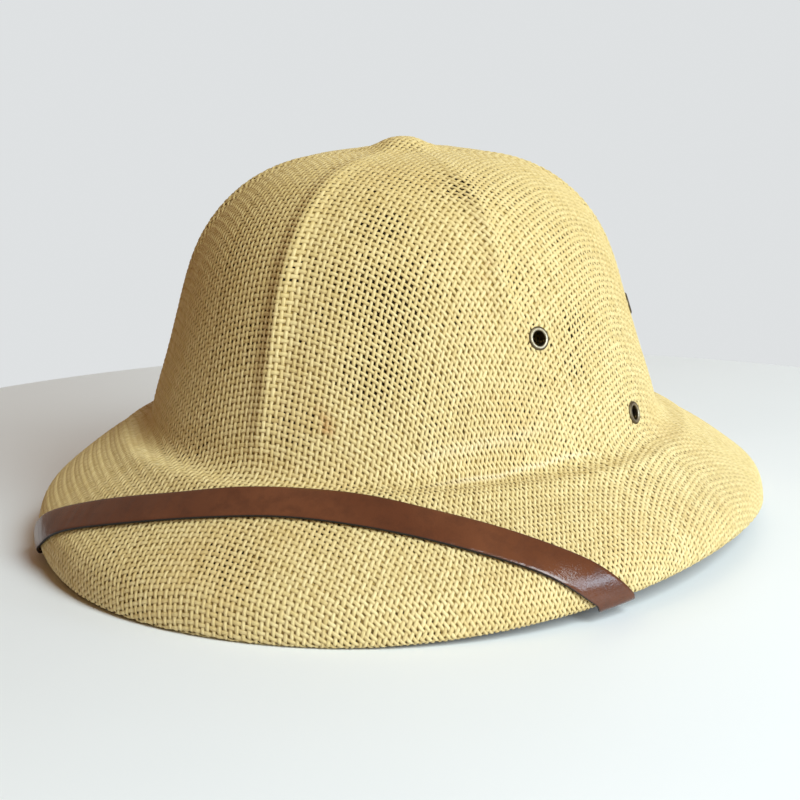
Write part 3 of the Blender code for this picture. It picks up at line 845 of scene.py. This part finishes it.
def under_layer(net, seats, material):
    """The cloth's second layer, closed round the rim, and the inner face."""
    outside_rows, rim_rows, hem_rows, inside_rows = LAYER_ROWS
    hem = RIM_PLACE - HEM_HEIGHT
    down = np.linspace(LAYER_FIRST_RING, TURN_PLACE, outside_rows)
    round_rim = TURN_PLACE + np.linspace(0, math.pi, rim_rows)[1:] * HEM_RADIUS
    up_hem = np.linspace(TURN_PLACE, hem, hem_rows)[1:]
    up_inside = np.linspace(hem, LAYER_FIRST_RING, inside_rows)[1:]
    outer = np.concatenate([[LAYER_MIDDLE], down, round_rim])
    inner = np.concatenate([up_hem, up_inside, [LAYER_MIDDLE]])
    angles = np.linspace(0, 2 * np.pi, LAYER_COLUMNS, endpoint=False)
    shared = net_coordinates(net, angles, outer)
    behind = [[np.interp(inner, outer, shared[:, j, k]) for j in range(LAYER_COLUMNS)] for k in (0, 1)]
    flat = flat_of(angles, outer[:, None]).reshape(-1, 2)
    flat_inside = flat_of(angles, inner[:, None]).reshape(-1, 2)
    inside = inner_point(np.tile(angles, len(inner)), np.repeat(inner, LAYER_COLUMNS), LAYER_TAPER)
    points = np.concatenate([flat_point(flat) - LAYER_DEPTH * flat_normal(flat), inside])
    drawn = np.concatenate([shared.reshape(-1, 2), np.transpose(behind).reshape(-1, 2)])
    face = np.repeat([1.0, -1.0], [len(flat), len(inside)])
    quads = ring_quads(len(outer) + len(inner), LAYER_COLUMNS)
    middle = points[quads].mean(axis=1)
    keep = np.ones(len(quads), bool)
    for seat in seats:
        offset = middle - np.array(seat.translation)
        axis = np.array(seat.to_3x3().col[2])
        beside = lengths(offset - np.outer(offset @ axis, axis))
        keep &= (beside >= LAYER_CUT) | (np.abs(offset @ axis) >= LAYER_CUT_DEPTH)
    marks_and_painted_light = marks_and_painted_light_at(np.concatenate([flat, flat_inside]), points)
    values = {"cloth": np.column_stack([drawn, face]), "marks_and_painted_light": marks_and_painted_light}
    mesh = quad_mesh("straw_under_layer", points, quads[keep], values)
    add_piece(mesh, material, "straw", "straw_shell")


# Eyelets


def place_at_height(share):
    """Place on the front's section where the crown is at a share of its height."""
    tries = np.linspace(0.0, FOOT_PLACE, 400)
    height = outer_section(np.zeros(400), tries)[1]
    return float(np.interp(-(BRIM_DROP + share * CROWN_HEIGHT), -height, tries))


def seat_at(point, normal):
    """A frame at a point, with Z along the normal and Y upwards."""
    side = Vector((0, 0, 1)).cross(Vector(normal)).normalized()
    up = Vector(normal).cross(side)
    turn = Matrix((side, up, Vector(normal))).transposed().to_4x4()
    return Matrix.Translation(Vector(point)) @ turn


def eyelet_seats():
    seats = {}
    for side, sign in (("right", 1), ("left", -1)):
        for name, turn, height in EYELETS:
            at = np.array([sign * math.radians(90 + turn)]), np.array([place_at_height(height)])
            seats[f"{side}_{name}"] = seat_at(outer_point(*at)[0], outer_normal(*at)[0])
    return seats


def turned_mesh(name, profile, closed, segments=64):
    """A profile of (radius, height) turned round Z, closed to a ring or capped at both ends."""
    count = len(profile)
    turn = 2 * np.pi * np.arange(segments) / segments
    radius, height = (np.repeat(column, segments) for column in zip(*profile))
    around = np.tile(turn, count)
    points = np.stack([radius * np.cos(around), radius * np.sin(around), height], axis=1)
    turned = np.stack([radius, height, around], axis=1)
    mesh = quad_mesh(name, points, ring_quads(count, segments, closed), {"turned": turned})
    last = (count - 1) * segments
    close_up(mesh, [] if closed else [range(segments), range(last, last + segments)], sharp=50)
    return mesh


def rounded(points, steps=3):
    """A profile with its corners cut again and again, so that it turns smoothly; its ends stay."""
    line = np.array(points, float)
    for _ in range(steps):
        cut = [line[0]]
        for a, b in zip(line, line[1:]):
            cut += [0.75 * a + 0.25 * b, 0.25 * a + 0.75 * b]
        cut.append(line[-1])
        line = np.array(cut)
    return [tuple(p) for p in line]


def make_eyelets(seats, material):
    """A rolled flange pressed down on the yarns, a tube through the wall and a flat flange inside."""
    bore = EYELET_BORE / 2
    tube = bore + EYELET_METAL
    flange = EYELET_DIAMETER / 2
    inside = -WALL - GAP - EYELET_STAND_OFF
    bead = [
        (bore, EYELET_RISE - 0.0006),
        (bore, EYELET_RISE + 0.2 * EYELET_BEAD),
        (bore + 0.2 * (flange - bore), EYELET_RISE + 0.72 * EYELET_BEAD),
        (bore + BEAD_END * (flange - bore), EYELET_RISE + 0.70 * EYELET_BEAD),
        (flange, EYELET_RISE + 0.28 * EYELET_BEAD),
        (flange, EYELET_RISE - 0.0001),
    ]
    profile = rounded(bead) + [
        (flange - 0.0003, EYELET_RISE - 0.0001),
        (tube, EYELET_RISE),
        (tube, inside),
        (flange, inside),
        (flange, inside - 0.7 * EYELET_METAL),
        (flange - 0.0002, inside - EYELET_METAL),
        (bore + 0.0002, inside - EYELET_METAL),
        (bore, inside - 0.5 * EYELET_METAL),
    ]
    for label, seat in seats.items():
        mesh = turned_mesh(f"eyelet_ring_{label}", profile, closed=True)
        mesh.transform(seat)
        add_piece(mesh, material, "eyelet_metal", f"eyelet_{label}")


# The strap


def climb_to_section(angle, climb, lift):
    """Radius and height, lift metres off the shell, at a climb along its section round the rim."""
    places = np.linspace(RIM_PLACE, place_at_height(STRAP_TOP), SECTION_TRIES)
    turn = np.full(SECTION_TRIES, angle)
    outer = np.stack(outer_section(turn, places), axis=1)
    face = inner_point(turn, places)
    inner = np.stack([np.hypot(face[:, 0], face[:, 1] - AXIS_Y), face[:, 2]], axis=1)
    inner[0, 1] = outer[0, 1]
    section = RIM_PLACE - FOOT_PLACE
    shares = HEM_THICKNESS / 2 / section + (RIM_PLACE - places) / section
    path = np.concatenate([inner[::-1], outer])
    measure = np.concatenate([-shares[::-1], shares])
    tangent = np.gradient(path, axis=0)
    shifted = path + lift * unit(np.stack([tangent[:, 1], -tangent[:, 0]], axis=1))
    return [np.interp(climb, measure, column) for column in shifted.T]


def strap_point(angle, climb, lift):
    return in_space(angle, *climb_to_section(angle, climb, lift))


def strap_line():
    """Angles and climbs along the strap's middle line, closer together where it folds round the rim."""
    knots = np.arange(len(STRAP), dtype=float)
    fine = np.linspace(0, len(STRAP) - 1, STRAP_TRIES)
    weights = spline_weights(knots, spline_bend(knots), fine)
    angle = weights @ np.radians([angle for angle, _ in STRAP])
    climb = weights @ np.array([climb for _, climb in STRAP])
    points = np.array([strap_point(a, c, STRAP_LIFT) for a, c in zip(angle, climb)])
    steps = lengths(np.diff(points, axis=0))
    steps *= 1 + FOLD_ROWS_MORE * bell(climb[1:], FOLD_ROWS_SPREAD)
    walked = np.concatenate([[0], np.cumsum(steps)])
    even = np.linspace(0, walked[-1], STRAP_ROWS)
    return np.interp(even, walked, angle), np.interp(even, walked, climb)


def strap_rows():
    """Each row's middle as angle and climb, and the step from it to the strap's upper edge."""
    angle, climb = strap_line()
    section = RIM_PLACE - FOOT_PLACE
    reach = np.array([climb_to_section(a, c, 0.0)[0] for a, c in zip(angle, climb)])
    along = np.gradient(angle) * reach
    up = np.gradient(climb) * section
    square = np.stack([-up, along], axis=1) / np.hypot(along, up)[:, None]
    rim_wise = np.stack([-np.sign(up), 0 * up], axis=1)
    share = bell(climb, FOLD_TURN_SPREAD)[:, None]
    across = (1 - share) * square + share * rim_wise
    across *= STRAP_WIDTH / 2 / dots(across, square)
    widened = lengths(across)[:, None] / (STRAP_WIDTH / 2)
    across *= np.minimum(widened, FOLD_WIDENING) / widened
    return angle, climb, across[:, 0] / reach, across[:, 1] / section


def strap_frames():
    """For each row of the strap, the inner face's two edges and middle, and the way out of the shell."""
    frames = []
    for angle, climb, side_angle, side_climb in zip(*strap_rows()):
        low, middle, high = (
            strap_point(angle + side * side_angle, climb + side * side_climb, STRAP_LIFT)
            for side in (-1, 0, 1)
        )
        out = unit(strap_point(angle, climb, STRAP_LIFT + STRAP_THICKNESS) - middle)
        middle = middle + out * max(0.0, float(np.dot((low + high) / 2 - middle, out)))
        frames.append((low, middle, high, out))
    return frames


def smoothed(rows, passes=3):
    """Rows of points, each drawn towards its neighbours' mean; the ends stay."""
    for _ in range(passes):
        rows = rows.copy()
        rows[1:-1] = 0.5 * rows[1:-1] + 0.25 * (rows[:-2] + rows[2:])
    return rows


def make_strap(frames, material):
    """A flat strap with a faint crown and cut edges; its values are length, way across and height."""
    low, middle, high, out = (smoothed(np.array(column)) for column in zip(*frames))
    walked = walk(middle)
    across = unit(high - low)
    out = unit(out - across * dots(out, across))
    # Round the section: share across, and share of the thickness, from the inner face round the edges
    edge = [(0.995, 0.12), (1.0, 0.35), (1.0, 0.68), (0.985, 0.9)]
    section = [(t, 0.0) for t in np.linspace(-0.97, 0.97, 9)] + edge
    section += [(t, 1.0 + 0.06 * (1 - t * t)) for t in np.linspace(0.95, -0.95, 13)]
    section += [(-t, rise) for t, rise in reversed(edge)]
    count = len(section)
    t, rise = (column[:, None] for column in np.array(section).T)
    low, middle, high, out = (rows[:, None] for rows in (low, middle, high, out))
    base = 0.5 * t * (t - 1) * low + (1 - t * t) * middle + 0.5 * t * (t + 1) * high
    points = (base + rise * STRAP_THICKNESS * out).reshape(-1, 3)
    values = np.stack([np.repeat(walked, count), *np.tile([t[:, 0], rise[:, 0]], len(walked))], axis=1)
    mesh = quad_mesh("leather_strap", points, ring_quads(len(walked), count), {"leather": values})
    last = (len(walked) - 1) * count
    close_up(mesh, [range(count), range(last, last + count)], sharp=60)
    add_piece(mesh, material, "leather", "chin_strap")


def make_rivets(frames, material):
    """A domed head near each end of the strap, with a shank through it into the wall."""
    head = RIVET_DIAMETER / 2
    face = STRAP_LIFT + STRAP_THICKNESS + GAP
    dome = [
        (RIVET_SHANK / 2, -RIVET_SINK),
        (RIVET_SHANK / 2, face),
        (head - 0.0002, face),
        (head, face + RIVET_EDGE / 2 * RIVET_DOME),
        (head, face + RIVET_EDGE * RIVET_DOME),
    ]
    for turn in np.radians(np.linspace(12, 84, 8)):
        rise = RIVET_EDGE + (1 - RIVET_EDGE) * math.sin(turn)
        dome.append((head * math.cos(turn), face + RIVET_DOME * rise))
    near, far = RIVET_ROWS
    for side, ends in (("left", frames), ("right", frames[::-1])):
        end = ends[0][1]
        along = unit(ends[far][1] - end)
        out = unit(ends[near][3] - along * np.dot(ends[near][3], along))
        mesh = turned_mesh(f"rivet_{side}", dome, closed=False, segments=48)
        mesh.transform(seat_at(end + RIVET_FROM_END * along - STRAP_LIFT * out, out))
        add_piece(mesh, material, "rivet_metal", f"strap_rivet_{side}")


# Nodes and materials


class Graph:
    """Short calls for making and linking shader nodes."""

    def __init__(self, tree):
        self.tree = tree

    def connect(self, node, inputs):
        """Give a node's inputs other nodes' outputs, or values."""
        for key, value in inputs.items():
            if isinstance(value, bpy.types.NodeSocket):
                self.tree.links.new(value, node.inputs[key])
            else:
                node.inputs[key].default_value = value
        return node

    def node(self, kind, inputs=None, **settings):
        made = self.tree.nodes.new("ShaderNode" + kind)
        for key, value in settings.items():
            setattr(made, key, value)
        return self.connect(made, inputs or {})

    def math(self, operation, a, b=0.0):
        return self.node("Math", {0: a, 1: b}, operation=operation).outputs[0]

    def plus(self, a, b):
        return self.math("ADD", a, b)

    def times(self, a, b):
        return self.math("MULTIPLY", a, b)

    def larger(self, a, b):
        return self.math("MAXIMUM", a, b)

    def share(self, value, low, high, to_low=0.0, to_high=1.0):
        """How far a value is from low to high, held between two ends."""
        inputs = {0: value, 1: low, 2: high, 3: to_low, 4: to_high}
        return self.node("MapRange", inputs, clamp=True).outputs[0]

    def mix(self, share, a, b):
        """A colour, from a to b."""
        a, b = (end if isinstance(end, bpy.types.NodeSocket) else (*end, 1) for end in (a, b))
        return self.node("Mix", {0: share, 6: a, 7: b}, data_type="RGBA").outputs[2]

    def noise(self, vector, scale, detail=2.0, roughness=0.6):
        inputs = {"Vector": vector, "Scale": scale, "Detail": detail, "Roughness": roughness}
        return self.node("TexNoise", inputs).outputs["Fac"]

    def split(self, vector):
        return self.node("SeparateXYZ", {0: vector}).outputs

    def join(self, x, y, z=0.0):
        return self.node("CombineXYZ", {0: x, 1: y, 2: z}).outputs[0]

    def bump(self, height, strength, distance, **under):
        inputs = {"Height": height, "Strength": strength, "Distance": distance, **under}
        return self.node("Bump", inputs).outputs[0]


class Look(Graph):
    """A material, drawn on its Principled shader."""

    def __init__(self, name):
        self.material = bpy.data.materials.new(name)
        self.material.use_nodes = True
        super().__init__(self.material.node_tree)
        self.place = self.node("TexCoord").outputs["Object"]

    def stored(self, name):
        """The three parts of a vector stored on the mesh's points."""
        return self.split(self.node("Attribute", attribute_name=name).outputs["Vector"])

    def tinted(self, colour, *steps):
        """A colour after mixing in others; each has a value, from where to where it counts, and the most."""
        for value, low, high, most, other in steps:
            colour = self.mix(self.share(value, low, high, 0, most), colour, other)
        return colour

    def scaled(self, *pairs):
        """A place in noise, from values and what each is multiplied by."""
        return self.join(*(self.times(value, scale) for value, scale in pairs))

    def finished(self, **inputs):
        """The material, once its shader has these inputs; their names have underscores for spaces."""
        shader = self.tree.nodes["Principled BSDF"]
        self.connect(shader, {key.replace("_", " "): value for key, value in inputs.items()})
        return self.material


def table_material():
    """White paint with the faintest unevenness."""
    look = Look("table_white")
    cloud = look.noise(look.place, 6.0, roughness=0.5)
    return look.finished(
        Base_Color=look.mix(look.share(cloud, 0.35, 0.65), *TABLE_PAINT),
        Roughness=0.5,
        Specular_IOR_Level=0.4,
        Normal=look.bump(look.noise(look.place, 700.0), 0.04, 0.0003),
    )


def yarn_material():
    """Twisted paper straw: fibres along each yarn, paler and darker lengths, painted shade at the yarns'
    edges and where they dip under, a deeper tint higher up, highlights painted along the creases, and stains.
    """
    look = Look("straw_yarn")
    along, across, tone = look.stored("strand")
    pale, stain, rise = look.stored("marks_and_painted_light")
    fibre = look.noise(look.scaled(*zip((along, across, tone), FIBRES)), 1.0, 3.0)
    length_tone = look.noise(look.scaled(*zip((along, tone), TONES)), 1.0)
    clouds = look.noise(look.place, 22.0, 3.0)
    specks = look.share(look.noise(look.place, 420.0), 0.40, 0.56, 0.35, 1.0)
    straw = look.tinted(
        look.mix(look.share(length_tone, 0.36, 0.64), STRAW_MIDDLE, STRAW_LIGHT),
        (fibre, 0.52, 0.8, 0.4, STRAW_DARK),
        (tone, 0.86, 1.0, 0.25, STRAW_DARK),
        (clouds, 0.52, 0.72, 0.30, STRAW_CLOUDED),
        # Painted shade towards each yarn's edges, where it rounds down into the cloth
        (look.math("ABSOLUTE", across), 0.5, 1.0, 0.55, STRAW_DARK),
        # Painted shade where a yarn dips under the ones across it
        (rise, 0.6, -1.0, 0.36, STRAW_DARK),
        # Deeper, darker straw higher up the crown
        (look.split(look.place)[2], 0.06, 0.15, 0.24, STRAW_UPPER_TINT),
    )
    # Pale lines painted along the creases as highlights
    worn = look.mix(pale, straw, STRAW_PALE)
    return look.finished(
        Base_Color=look.tinted(worn, (look.times(stain, specks), 0.05, 0.8, 0.85, STAIN)),
        Roughness=0.55,
        Specular_IOR_Level=0.35,
        Normal=look.bump(fibre, 0.35, 0.0002),
    )


def layer_material():
    """Both faces of the second layer: a plain weave drawn in net coordinates, with painted shade where its
    yarns dip and in its holes, its outer face painted darker as shade, and open holes in patches.
    """
    look = Look("straw_layer")
    across, along, side = look.stored("cloth")
    lined_up = look.stored("marks_and_painted_light")[2]
    # The second layer lies a little askew under the first and is woven a little finer
    u = look.plus(look.times(across, LAYER_FINENESS), look.times(along, LAYER_SLANT))
    v = look.plus(look.times(along, LAYER_FINENESS), look.times(across, -LAYER_SLANT))
    from_u, from_v = (look.math("PINGPONG", axis, 0.5) for axis in (u, v))
    hole = look.times(look.share(from_u, *LAYER_HOLE), look.share(from_v, *LAYER_HOLE))
    over = look.times(*(look.math("COSINE", look.times(axis, math.pi)) for axis in (u, v)))
    warp = look.times(look.share(from_u, LAYER_YARN, 0.0), look.share(over, -1, 1, 0.35, 1.0))
    weft = look.times(look.share(from_v, LAYER_YARN, 0.0), look.share(over, 1, -1, 0.35, 1.0))
    height = look.larger(warp, weft)
    # Seen from outside, a hole of the first layer is dark all through where the second layer's is behind it
    cell = look.join(look.math("FLOOR", across), look.math("FLOOR", along))
    chance = look.node("TexWhiteNoise", {"Vector": cell}, noise_dimensions="2D").outputs["Value"]
    drift = look.share(look.noise(look.place, 45.0), 0.4, 0.75, 0, 0.7)
    lined = look.plus(look.larger(lined_up, drift), look.math("MINIMUM", lined_up, 0.0))
    opened = look.share(look.plus(lined, look.times(chance, 0.45)), 0.50, 0.80)
    outside = look.share(side, -0.2, 0.2)
    # Painted shade: the drawn weave is darker where its yarns dip and between them, on both faces
    woven = look.share(height, 0.0, 0.6)
    # The outer face lies under the first layer and takes darker colours, as painted shade
    outer = look.mix(look.share(lined_up, 0.0, -0.5), look.mix(woven, *LAYER_OUTSIDE_SHADED), LAYER_PRESSED)
    colour = look.mix(outside, look.mix(woven, *LAYER_INSIDE), outer)
    return look.finished(
        Base_Color=look.mix(look.larger(look.times(outside, opened), hole), colour, LAYER_SHADE),
        Roughness=0.8,
        Specular_IOR_Level=0.02,
        Normal=look.bump(height, 0.8, 0.0005),
    )


def leather_material():
    """Brown coated leather: black cut edges, a fine grain, faint creases where it bends, and worn edges."""
    look = Look("leather_brown")
    along, across, face = look.stored("leather")
    grain = look.noise(look.place, 1400.0)
    mottle = look.noise(look.place, 160.0, 3.0)
    cloud = look.noise(look.place, 28.0, roughness=0.5)
    from_middle = look.math("ABSOLUTE", across)
    cut = look.times(look.share(from_middle, 0.972, 0.984), look.share(face, 0.97, 0.93))
    inside = look.share(face, 0.08, 0.0)
    leather = look.tinted(
        look.mix(look.share(cloud, 0.35, 0.65), *LEATHER),
        (mottle, 0.45, 0.75, 0.5, LEATHER_MOTTLED),
        (from_middle, 0.90, 0.955, 0.35, LEATHER_EDGE),
    )
    dull = look.times(look.larger(inside, cut), 0.4)
    crease_at = look.scaled(*zip((along, across), LEATHER_CREASES))
    creases = look.bump(look.noise(crease_at, 1.0, 1.0, 0.5), 1.0, 0.0003)
    height = look.plus(grain, look.times(mottle, 0.6))
    return look.finished(
        Base_Color=look.mix(inside, look.mix(cut, leather, LEATHER_CUT), LEATHER_BACK),
        Roughness=look.plus(look.share(mottle, 0.3, 0.75, 0.13, 0.24), dull),
        Specular_IOR_Level=0.45,
        Normal=look.bump(height, 0.6, 0.00012, Normal=creases),
    )


def eyelet_material():
    """Antique brass: worn bright on the inner lip, dark patina on the outer edge and in the tube."""
    look = Look("eyelet_brass")
    radius, height, _ = look.stored("turned")
    patches = look.noise(look.place, 900.0, 3.0)
    bore, flange = EYELET_BORE / 2, EYELET_DIAMETER / 2
    edge = bore + BEAD_END * (flange - bore)
    uneven = look.plus(radius, look.times(patches, 0.0003))
    lip = look.share(uneven, edge + 0.0002, edge - 0.00005)
    worn = look.times(lip, look.share(height, 0.0, 0.0003))
    bright = look.mix(look.share(patches, 0.35, 0.7), *BRASS)
    return look.finished(
        Base_Color=look.mix(worn, BRASS_PATINA, bright),
        Metallic=1.0,
        Roughness=look.share(patches, 0.3, 0.7, 0.38, 0.56),
    )


def rivet_material():
    """Plated rivet with a scuffed dome and a dark edge."""
    look = Look("rivet_nickel")
    radius = look.stored("turned")[0]
    scuffs = look.noise(look.place, 1100.0, 3.0, 0.65)
    head = RIVET_DIAMETER / 2
    colour = look.mix(look.share(radius, 0.86 * head, 0.98 * head), NICKEL, NICKEL_EDGE)
    return look.finished(
        Base_Color=look.tinted(colour, (scuffs, 0.5, 0.7, 0.5, NICKEL_SCUFFED)),
        Metallic=1.0,
        Roughness=look.share(scuffs, 0.3, 0.7, 0.22, 0.45),
    )


# Camera, table and light


def make_camera():
    yaw, pitch, roll = np.radians([CAMERA_YAW, CAMERA_PITCH, CAMERA_ROLL])
    data = bpy.data.cameras.new("camera")
    data.lens = CAMERA_LENS
    data.sensor_width = 36
    camera = placed(data)
    turn = Matrix.Rotation(yaw, 4, "Z") @ Matrix.Rotation(math.pi / 2 - pitch, 4, "X")
    camera.matrix_world = Matrix.Translation(CAMERA_AT) @ turn @ Matrix.Rotation(-roll, 4, "Z")
    bpy.context.scene.camera = camera


def make_stage():
    """A small round white table with a softened edge."""
    inner, bevel = TABLE_RADIUS - TABLE_EDGE, 0.3 * TABLE_EDGE
    profile = [
        (inner, -TABLE_THICKNESS),
        (TABLE_RADIUS, TABLE_EDGE - TABLE_THICKNESS),
        (TABLE_RADIUS, -TABLE_EDGE),
        (TABLE_RADIUS - bevel, -bevel),
        (inner, 0.0),
    ]
    mesh = turned_mesh("table", profile, closed=False, segments=256)
    mesh.transform(Matrix.Translation((*TABLE_MIDDLE, 0)))
    mesh.materials.append(table_material())
    placed(mesh)


def area_light(name, at, width, height, power, colour):
    data = bpy.data.lights.new(name, "AREA")
    data.shape = "RECTANGLE"
    data.size = width
    data.size_y = height
    data.energy = power
    data.color = colour
    lamp = placed(data)
    lamp.location = at
    lamp.rotation_euler = (Vector(LAMPS_FACE) - Vector(at)).to_track_quat("-Z", "Y").to_euler()


def make_light():
    """The lamps, and a room that lights faintly and warmly but looks like a plain pale backdrop."""
    for lamp in LAMPS:
        area_light(*lamp)
    world = bpy.data.worlds.new("room")
    world.use_nodes = True
    room = Graph(world.node_tree)
    there = world.node_tree.nodes
    lit = room.connect(there["Background"], {"Color": (*ROOM_COLOUR, 1), "Strength": ROOM_STRENGTH})
    seen = room.node("Background", {"Color": (*BACKDROP_COLOUR, 1), "Strength": 1.0})
    rays = room.node("LightPath").outputs
    looking = room.larger(rays["Is Camera Ray"], room.times(rays["Is Glossy Ray"], WALLS_REFLECTED))
    mixed = room.node("MixShader", {0: looking, 1: lit.outputs[0], 2: seen.outputs[0]})
    room.connect(there["World Output"], {0: mixed.outputs[0]})
    bpy.context.scene.world = world


def main():
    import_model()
    bpy.context.scene.view_settings.view_transform = "Standard"
    make_camera()
    make_stage()
    make_light()
    net = whole_net()
    seats = eyelet_seats()
    yarn_pieces(net, seats.values(), yarn_material())
    under_layer(net, seats.values(), layer_material())
    make_eyelets(seats, eyelet_material())
    frames = strap_frames()
    make_strap(frames, leather_material())
    make_rivets(frames, rivet_material())


main()
